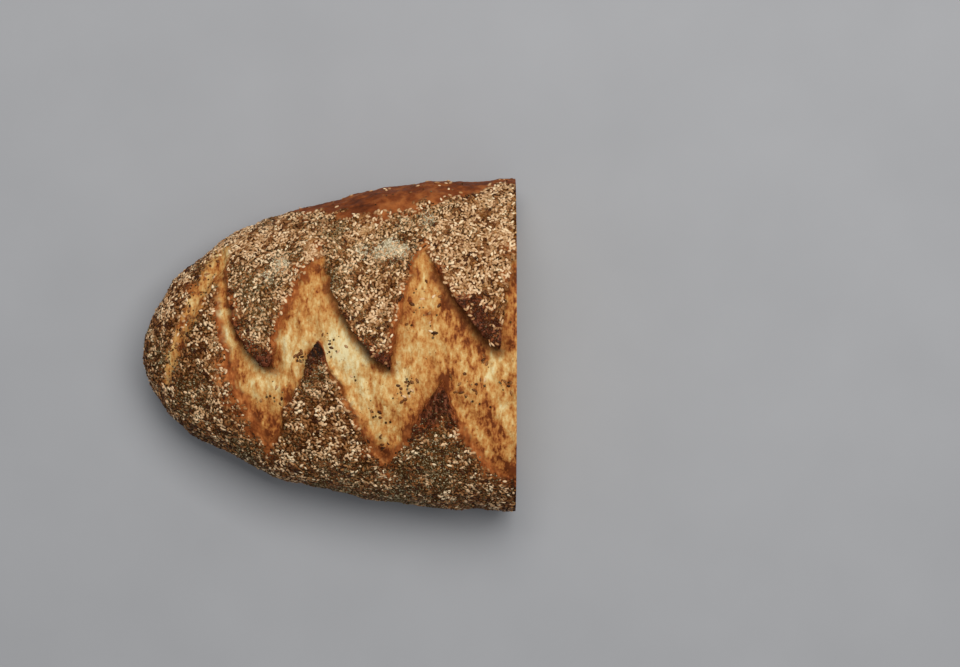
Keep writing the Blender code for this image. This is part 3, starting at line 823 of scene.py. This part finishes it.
def make_sesame(grid, value, draw):
    """Sesame seeds over the crust, as a pale piece and a toasted one."""
    density = cover(value, *SESAME_COVER) * (1 - SESAME_LOSS * value["chalk"]) + STRAY_SESAME * value["band"]
    spots, ups, cells = scatter(grid, density, PALE_COUNT + TOASTED_COUNT, SESAME_GAP, draw)
    darkness = draw.random(len(spots)) + weighed(value, DARKENED_BY, cells) + layered(spots, DARK_NOISE)
    order = np.argsort(darkness)
    kernel = pod(SESAME_RINGS, around=5)
    pieces = []
    for name, chosen, (spread, weights) in (
        ("pale_sesame", order[:PALE_COUNT], PALE_TONES),
        ("toasted_sesame", order[PALE_COUNT:], TOASTED_TONES),
    ):
        sizes = varied(SESAME_SIZE, *SESAME_VARIETY, (len(chosen), 3), draw)
        tones = SESAME_TONE + draw.beta(*spread, len(chosen)) + weighed(value, weights, cells[chosen])
        tones = layered(spots[chosen], TONE_NOISE, tones)
        sink = draw.uniform(*SESAME_SINK, len(chosen))
        pieces.append(strew(name, kernel, spots[chosen], ups[chosen], sizes, tones, draw, SESAME_TILT, sink))
    return pieces


def make_poppy(grid, value, draw):
    """Poppy seeds over the crust, and the dark seeds that strayed onto the band."""
    spots, ups, cells = scatter(grid, cover(value, *POPPY_COVER), POPPY_COUNT, POPPY_GAP, draw)
    spread, weights = POPPY_TONES
    tones = POPPY_TONE + draw.beta(*spread, len(spots)) + weighed(value, weights, cells)
    stray_spots, stray_ups, _ = scatter(grid, value["band"], STRAY_COUNT, STRAY_GAP, draw)
    strays = len(stray_spots)
    tones = np.concatenate((tones.clip(0, 1), draw.uniform(*STRAY_TONES, strays)))
    spots, ups = np.vstack((spots, stray_spots)), np.vstack((ups, stray_ups))
    sizes = varied(POPPY_SIZE, *POPPY_VARIETY, (len(spots), 1), draw)
    sizes[-strays:] *= draw.uniform(*STRAY_SIZES, (strays, 1))
    sink = draw.uniform(*POPPY_SINK, len(spots))
    return strew("poppy", pod(POPPY_RINGS, around=6), spots, ups, sizes, tones, draw, POPPY_TILT, sink)


def crumb_mesh(flat, low, high, draw):
    """Points spread evenly inside the cut face's outline, and the triangles between them."""
    rows = []
    for number, z in enumerate(np.arange(low[1], high[1], CRUMB_SPACING * ROW_PITCH)):
        y = np.arange(low[0], high[0], CRUMB_SPACING) + CRUMB_SPACING * 0.5 * (number % 2)
        rows.append(np.stack((y, np.full(len(y), z)), axis=1))
    inner = np.vstack(rows)
    inner = inner[inside(inner, flat)]
    inner = inner[in_parts(distance_to(flat), inner) > CRUMB_SPACING * CRUMB_ROOM]
    every = np.vstack((flat, inner + draw.uniform(-CRUMB_JITTER, CRUMB_JITTER, inner.shape)))
    border = [(i, (i + 1) % len(flat)) for i in range(len(flat))]
    spots, _, triangles, *_ = delaunay_2d_cdt([Vector(p) for p in every], border, [], 1, 1e-6)
    return np.array([tuple(spot) for spot in spots]), np.array([tuple(face) for face in triangles])


def skewed(least, more, rareness, count, draw):
    """Random sizes from least to more above it. The higher the rareness, the fewer large ones."""
    return least + more * draw.random(count) ** rareness


def crumb_pores(spots, solid, flat, ring, draw):
    """How far the pores sink in at each spot of the cut face."""
    where = draw.uniform(flat.min(axis=0), flat.max(axis=0), (PORE_COUNT * 2, 2))
    where = where[inside(where, flat)][:PORE_COUNT]
    radii = skewed(*PORE_RADII, len(where), draw)
    radii[:BIG_PORE_COUNT] = draw.uniform(*BIG_PORE_RADII, BIG_PORE_COUNT)
    warped = spots + PORE_WARP * np.stack([grain(solid, *layer) for layer in PORE_WARP_NOISE], axis=1)
    pores = np.zeros(len(spots))
    for (y, z), radius, clear in zip(where, radii, distance_to(ring)(where)):
        stretch = draw.uniform(*PORE_STRETCH)
        angle = draw.normal(0.0, PORE_TURN)
        if clear < radius * stretch * PORE_ROOM[0] + PORE_ROOM[1]:
            continue
        near = np.abs(warped[:, 0] - y) + np.abs(warped[:, 1] - z) < radius * stretch * PORE_FIELD
        away = warped[near] - (y, z)
        along = away @ (math.cos(angle), math.sin(angle)) / stretch
        across = away @ (-math.sin(angle), math.cos(angle))
        bowl = np.sqrt(np.clip(1 - (along**2 + across**2) / radius**2, 0, 1))
        pores[near] = np.maximum(pores[near], bowl * min(radius * PORE_DEPTH[0], PORE_DEPTH[1]))
    return pores


def make_grains(spots, depth, where, lengths, draw):
    """Broken grains that lie in the cut face."""
    tree = KDTree(len(spots))
    for number, (y, z) in enumerate(spots.tolist()):
        tree.insert((y, z, 0.0), number)
    tree.balance()
    found = [tree.find((y, z, 0.0))[1] for y, z in where.tolist()]
    places = np.column_stack((CUT_X - depth[found], where))
    widths = lengths * draw.uniform(*GRAIN_WIDTHS, len(lengths))
    sizes = np.column_stack((lengths, widths, GRAIN_HEIGHT[0] + GRAIN_HEIGHT[1] * lengths))
    points, *rest = pod(GRAIN_RINGS, around=9)
    points = points * (1 + draw.uniform(-GRAIN_LUMPS, GRAIN_LUMPS, (len(points), 1)))
    facing = np.tile((1.0, 0.0, 0.0), (len(where), 1))
    tones = draw.random(len(where))
    return strew(
        "broken_grains", (points, *rest), places, facing, sizes, tones, draw, GRAIN_TILT, GRAIN_SINK
    )


def make_crumb(outline, draw):
    """The cut face, pitted with pores, and the broken grains that lie in it. Returns both pieces."""
    flat = outline[:, 1:]
    low, high = flat.min(axis=0), flat.max(axis=0)
    spots, triangles = crumb_mesh(flat, low, high, draw)
    ring = [np.linspace(a, b, RING_POINTS)[:-1] for a, b in zip(flat, np.roll(flat, -1, axis=0))]
    ring = np.vstack(ring)
    edge = in_parts(distance_to(ring), spots, size=1500)
    solid = np.column_stack((np.zeros(len(spots)), spots))
    pores = crumb_pores(spots, solid, flat, ring, draw)
    depth = (layered(solid, CRUMB_DENTS, CRUMB_SINK) + pores) * smooth(0.0, CRUMB_SOFT_EDGE, edge)

    where = draw.uniform(low, high, (GRAIN_COUNT * 3, 2))
    where = where[inside(where, flat)]
    where = where[distance_to(flat)(where) > GRAIN_ROOM][:GRAIN_COUNT]
    lengths = skewed(*GRAIN_LENGTHS, len(where), draw)
    stains = [(y, z, STAIN_REACH * length, 1.0) for (y, z), length in zip(where, lengths)]
    uv = (spots - low) / ((high - low).max() * CRUMB_SPAN) + FLAT_MARGIN
    crumb = linked("crumb", np.column_stack((CUT_X - depth, spots)), triangles, uv[triangles.ravel()])
    paint(crumb, {"edge": edge, "pore": pores, "stain": patches(spots, stains)})
    even_faces(crumb, forward=True)
    return crumb, make_grains(spots, depth, where, lengths, draw)


class Wire:
    """A shader value that sums are written with."""

    def __init__(self, finish, socket):
        self.finish = finish
        self.socket = socket

    def math(self, operation, first, second):
        return self.finish.node("ShaderNodeMath", {"operation": operation}, {0: first, 1: second})

    def __add__(self, other):
        return self.math("ADD", self, other)

    def __radd__(self, other):
        return self.math("ADD", other, self)

    def __sub__(self, other):
        return self.math("SUBTRACT", self, other)

    def __rsub__(self, other):
        return self.math("SUBTRACT", other, self)

    def __mul__(self, other):
        return self.math("MULTIPLY", self, other)

    def __rmul__(self, other):
        return self.math("MULTIPLY", other, self)

    def __truediv__(self, other):
        return self.math("DIVIDE", self, other)

    def __rtruediv__(self, other):
        return self.math("DIVIDE", other, self)

    def swing(self, amount):
        """The value, which runs from 0 to 1, made to swing about 0 instead, by half the amount each way."""
        return (self - 0.5) * amount


def tint(red, green, blue):
    """A colour given as seen on a screen, 0 to 255, turned into the shader's linear values."""
    shares = (seen / 255 for seen in (red, green, blue))
    return (*(c / 12.92 if c < 10 / 255 else ((c + 0.055) / 1.055) ** 2.4 for c in shares), 1.0)


class Finish:
    """A material of one Principled shader, with helpers for the nodes before it."""

    def __init__(self, name, **constants):
        self.material = bpy.data.materials.new(name)
        self.material.use_nodes = True
        self.tree = self.material.node_tree
        self.shader = self.tree.nodes["Principled BSDF"]
        for socket, value in constants.items():
            self.shader.inputs[socket.replace("_", " ")].default_value = value

    def node(self, kind, settings=None, inputs=None, out=0):
        """Adds a node: its settings first, then the values and links of its sockets."""
        made = self.tree.nodes.new(kind)
        for key, value in (settings or {}).items():
            setattr(made, key, value)
        for key, value in (inputs or {}).items():
            if isinstance(value, Wire):
                self.tree.links.new(value.socket, made.inputs[key])
            else:
                made.inputs[key].default_value = value
        return Wire(self, made.outputs[out])

    def field(self, name):
        return self.node("ShaderNodeAttribute", {"attribute_name": name}, out="Fac")

    def place(self, stretch):
        """Where on the loaf a point is, in millimetres. A stretch over 1 squeezes a pattern on that axis."""
        spot = self.node("ShaderNodeTexCoord", out="Object")
        scale = [share / MM for share in stretch]
        return self.node("ShaderNodeVectorMath", {"operation": "MULTIPLY"}, {0: spot, 1: scale})

    def noise(self, size, detail, roughness=0.5, stretch=EVEN, seed=0.0):
        inputs = {"W": seed, "Scale": 1.0 / size, "Detail": detail, "Roughness": roughness}
        inputs["Vector"] = self.place(stretch)
        return self.node("ShaderNodeTexNoise", {"noise_dimensions": "4D"}, inputs)

    def cells(self, size, seed, out="Distance"):
        inputs = {"Vector": self.place(EVEN), "W": seed, "Scale": 1.0 / size}
        return self.node("ShaderNodeTexVoronoi", {"voronoi_dimensions": "4D"}, inputs, out)

    def steps(self, value, low, high):
        inputs = {"Value": value, "From Min": low, "From Max": high}
        return self.node("ShaderNodeMapRange", {"interpolation_type": "SMOOTHSTEP"}, inputs)

    def ramp(self, value, *stops):
        """A colour that goes by the value. A stop is a value, then the red, green and blue that it gives."""
        wire = self.node("ShaderNodeValToRGB", inputs={"Fac": value})
        elements = wire.socket.node.color_ramp.elements
        (first, *first_seen), *between, (last, *last_seen) = stops
        elements[0].position, elements[0].color = first, tint(*first_seen)
        elements[1].position, elements[1].color = last, tint(*last_seen)
        for place, *seen in between:
            elements.new(place).color = tint(*seen)
        return wire

    def mix(self, share, first, second):
        settings = {"data_type": "RGBA", "clamp_factor": True}
        return self.node("ShaderNodeMix", settings, {0: share, 6: first, 7: second}, out=2)

    def bump(self, height, distance, strength):
        inputs = {"Height": height, "Distance": distance, "Strength": strength}
        return self.node("ShaderNodeBump", inputs=inputs)

    def wear(self, **inputs):
        for socket, value in inputs.items():
            self.tree.links.new(value.socket, self.shader.inputs[socket.replace("_", " ")])
        return self.material


def crust_finish():
    finish = Finish("browned_crust", Roughness=0.6, Specular_IOR_Level=0.03)
    steps, ramp, mix = finish.steps, finish.ramp, finish.mix
    rim, tinted, lift, toast, bare = map(finish.field, ("rim", "tinted", "lift", "toast", "bare"))
    burnt, flank, under, slash, side_shade_and_browning = map(finish.field, ("burnt", "flank", "under", "slash", "side_shade_and_browning"))
    broad = finish.noise(16.0, 3.0, 0.55)
    mottle = finish.noise(4.5, 4.0, 0.6, seed=2.0)
    fine = finish.noise(0.9, 3.0, 0.6, seed=4.0)
    streaks = finish.noise(3.2, 3.0, 0.55, (1.0, 0.5, 0.7), 5.0)
    wide_streaks = finish.noise(8.0, 3.0, 0.5, (1.0, 0.45, 0.6), 6.0)
    freckles = finish.noise(1.5, 2.0, 0.6, (1.0, 0.5, 0.8), 8.0)

    bran = finish.cells(1.25, 9.0, out="Color") * 0.9 + mottle.swing(0.8) + broad.swing(0.6)
    # Painted shade, partly darker crust: the skin and the gaps in it go darker towards the nose and down the
    # -Y side
    bran = bran - side_shade_and_browning * 0.15
    skin = ramp(
        bran,
        (0.16, 42, 18, 2), (0.34, 90, 49, 14), (0.47, 132, 84, 38), (0.6, 170, 118, 66),
        (0.78, 208, 168, 118),
    )
    between = steps(finish.cells(1.25, 9.0), 0.3, 0.62)
    skin = mix(between * (side_shade_and_browning * 0.2 + 0.6), skin, tint(56, 25, 2))
    skin = mix(finish.field("poppies") * 0.45, skin, tint(92, 66, 32))
    chalk = steps(finish.field("chalk") + fine.swing(1.2), 0.25, 0.7)
    husks = ramp(fine, (0.34, 140, 118, 88), (0.5, 188, 172, 142), (0.64, 222, 210, 182))
    skin = mix(chalk, skin, husks)
    red_crust = ramp(
        mottle * 0.4 + streaks * 0.25 + freckles * 0.35,
        (0.37, 72, 33, 16), (0.46, 122, 62, 28), (0.55, 162, 93, 46), (0.65, 204, 140, 82),
    )
    beside = steps(rim / (bare + 0.5), 1.25, 0.5) * steps(bare, 1.0, 3.5)
    # Red-brown crust, and in a few spots painted shade
    ruddy_and_shaded = steps(finish.field("ruddy_and_shaded") + fine.swing(0.9), 0.2, 0.75)
    colour = mix(beside, skin, red_crust)
    colour = mix(ruddy_and_shaded * 0.9, colour, red_crust)

    tone = toast * 0.88 + wide_streaks.swing(0.9) + streaks.swing(1.5) + freckles.swing(1.15)
    tone = tone + fine.swing(0.5) + steps(rim, -5.5, -0.5) * 0.16
    band = ramp(
        tone,
        (0.0, 220, 204, 156), (0.2, 212, 184, 128), (0.42, 198, 155, 94), (0.66, 180, 121, 62),
        (0.88, 140, 77, 36), (1.0, 98, 48, 22),
    )
    crowd = steps(finish.noise(6.0, 2.0, seed=7.0), 0.40, 0.56)
    fleck = steps(finish.cells(2.4, 3.0), 0.34, 0.12) * crowd
    band = mix(fleck * 0.6, band, tint(128, 74, 34))
    crumbs = steps(finish.cells(1.5, 13.0), 0.26, 0.14) * steps(mottle, 0.44, 0.58)
    band = mix(crumbs * 0.75, band, tint(104, 58, 26))
    # Painted shadow, partly toasting: the band goes darker just beside the raised ears, on the sides that
    # they shade
    ear_shadow_and_toast = steps(rim + mottle.swing(2.5), -6.2, -1.8) * steps(lift, 0.15, 0.45)
    ear_shadow_and_toast = ear_shadow_and_toast * finish.field("ear_shadow_side")
    shaded = mottle * 0.5 + freckles * 0.5
    shade = ramp(shaded, (0.36, 66, 33, 15), (0.5, 112, 64, 31), (0.62, 160, 104, 56))
    band = mix(ear_shadow_and_toast * 0.85, band, shade)
    on_band = steps(tinted + streaks.swing(0.5), 0.85, 0.15)
    groove = steps(slash + mottle.swing(0.8), 0.2, 0.9)
    colour = mix(on_band.math("MAXIMUM", on_band, groove), colour, band)

    flank_colour = ramp(
        mottle * 0.5 + broad * 0.5,
        (0.36, 76, 36, 18), (0.5, 122, 62, 30), (0.64, 168, 100, 52),
    )
    colour = mix(flank, colour, flank_colour)
    under_colour = ramp(mottle, (0.35, 120, 82, 50), (0.65, 176, 136, 92))
    colour = mix(under * 0.7, colour, under_colour)

    lip = steps(rim, 3.2, 0.3) * steps(rim, -0.6, 0.3) * steps(lift, 0.3, 0.85)
    char = burnt * steps(rim, -2.0, 0.5) + lip * (0.42 + mottle.swing(1.2)) + mottle.swing(0.9)
    char = char + freckles.swing(0.5)
    grit = freckles * 0.6 + fine * 0.4
    scorch = ramp(grit, (0.41, 62, 27, 13), (0.5, 106, 52, 24), (0.59, 154, 88, 46))
    soot = ramp(grit, (0.4, 46, 21, 11), (0.5, 80, 39, 21), (0.6, 122, 72, 50))
    colour = mix(steps(char, 0.15, 0.5), colour, scorch)
    colour = mix(steps(char, 0.5, 0.95), colour, soot)
    colour = mix(steps(char, 1.3, 1.6) * 0.9, colour, tint(29, 24, 21))

    rough = 0.62 - flank * 0.12 + mottle.swing(0.3)
    height = mottle * 0.45 + fine * 0.18 + streaks * on_band * 0.6
    return finish.wear(Base_Color=colour, Roughness=rough, Normal=finish.bump(height, 0.0012, 0.9))


def crumb_finish():
    finish = Finish("soft_crumb", Roughness=0.85, Specular_IOR_Level=0.25)
    steps, ramp, mix = finish.steps, finish.ramp, finish.mix
    edge, pore, stain = map(finish.field, ("edge", "pore", "stain"))
    cloud = finish.noise(9.0, 3.0, 0.55)
    fleck = finish.noise(1.5, 3.0, 0.6, seed=3.0)
    cell = finish.cells(1.1, 5.0)
    colour = ramp(
        cloud * 0.45 + fleck * 0.55,
        (0.34, 194, 170, 132), (0.5, 214, 195, 162), (0.66, 228, 213, 186),
    )
    # Painted shade: the crumb darker down in the pores and in the small pits
    colour = mix(steps(pore, 0.15, 1.2) * 0.75, colour, tint(182, 152, 112))
    colour = mix(steps(cell, 0.32, 0.12) * 0.35, colour, tint(178, 150, 112))
    colour = mix(steps(stain, 0.35, 0.95) * 0.65, colour, tint(170, 132, 88))
    wavy = edge + cloud.swing(3.0) + fleck.swing(1.2)
    colour = mix(steps(wavy, 6.2, 1.4) * 0.85, colour, tint(214, 160, 100))
    colour = mix(steps(wavy, 1.7, 0.5), colour, tint(148, 92, 48))
    colour = mix(steps(edge + fleck.swing(0.6), 0.75, 0.35), colour, tint(74, 42, 26))
    height = fleck * 0.5 - steps(cell, 0.34, 0.05) * 0.4
    return finish.wear(Base_Color=colour, Normal=finish.bump(height, 0.0007, 0.8))


def seed_finish(name, roughness, gloss, size, detail, swing, *stops):
    """Coloured by tone, which mottling of the given size and detail makes swing."""
    finish = Finish(name, Roughness=roughness, Specular_IOR_Level=gloss)
    tone = finish.field("tone") + finish.noise(size, detail).swing(swing)
    return finish.wear(Base_Color=finish.ramp(tone, *stops))


def floor_finish():
    finish = Finish("grey_table", Roughness=0.85)
    tone = finish.noise(60.0, 3.0, 0.5)
    colour = finish.ramp(tone, (0.3, 153, 154, 157), (0.7, 157, 158, 161))
    return finish.wear(Base_Color=colour)


def make_floor():
    ways = ((-1, -1), (1, -1), (1, 1), (-1, 1))
    corners = [(FLOOR_HALF * x, FLOOR_HALF * y, FLOOR_Z) for x, y in ways]
    floor = linked("table_top", corners, [[0, 1, 2, 3]])
    floor.data.materials.append(floor_finish())


def make_light():
    lamp = bpy.data.lights.new("window", "AREA")
    lamp.shape = "RECTANGLE"
    lamp.size, lamp.size_y = WINDOW_METRES
    lamp.energy = WINDOW_WATTS
    lamp.color = WINDOW_COLOUR
    holder = bpy.data.objects.new("window", lamp)
    holder.location = WINDOW_SPOT
    holder.rotation_euler = (Vector(WINDOW_AIM) - Vector(WINDOW_SPOT)).to_track_quat("-Z", "Y").to_euler()
    bpy.context.scene.collection.objects.link(holder)
    world = bpy.data.worlds.new("room")
    world.use_nodes = True
    background = world.node_tree.nodes["Background"]
    background.inputs["Color"].default_value = ROOM_COLOUR
    background.inputs["Strength"].default_value = ROOM_LIGHT
    bpy.context.scene.world = world


def make_camera():
    data = bpy.data.cameras.new("camera")
    data.sensor_width = SENSOR
    data.lens = SENSOR * CAMERA_HEIGHT * PIXELS_PER_MM / PHOTO_WIDTH
    data.clip_end = CLIP_METRES
    camera = bpy.data.objects.new("camera", data)
    camera.location = (CAMERA_SPOT[0] * MM, CAMERA_SPOT[1] * MM, CAMERA_HEIGHT * MM)
    bpy.context.scene.collection.objects.link(camera)
    bpy.context.scene.camera = camera


def dress(piece, material):
    piece.data.materials.clear()
    piece.data.materials.append(material)
    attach(piece, "root")
    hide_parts("loaf")


make_camera()
make_light()
make_floor()
draw = np.random.default_rng(RANDOM_SEED)
crust, crust_grid, crust_values, cut_outline = make_crust()
seed_values = seed_fields(crust_grid, crust_values)
pale_sesame, toasted_sesame = make_sesame(crust_grid, seed_values, draw)
poppy = make_poppy(crust_grid, seed_values, draw)
crumb, broken_grains = make_crumb(cut_outline, draw)
dress(crust, crust_finish())
dress(pale_sesame, seed_finish("pale_sesame", *PALE_FINISH))
dress(toasted_sesame, seed_finish("toasted_sesame", *TOASTED_FINISH))
dress(poppy, seed_finish("grey_poppy", *POPPY_FINISH))
dress(crumb, crumb_finish())
dress(broken_grains, seed_finish("soaked_grain", *GRAIN_FINISH))

bpy.context.scene.view_settings.view_transform = "Standard"
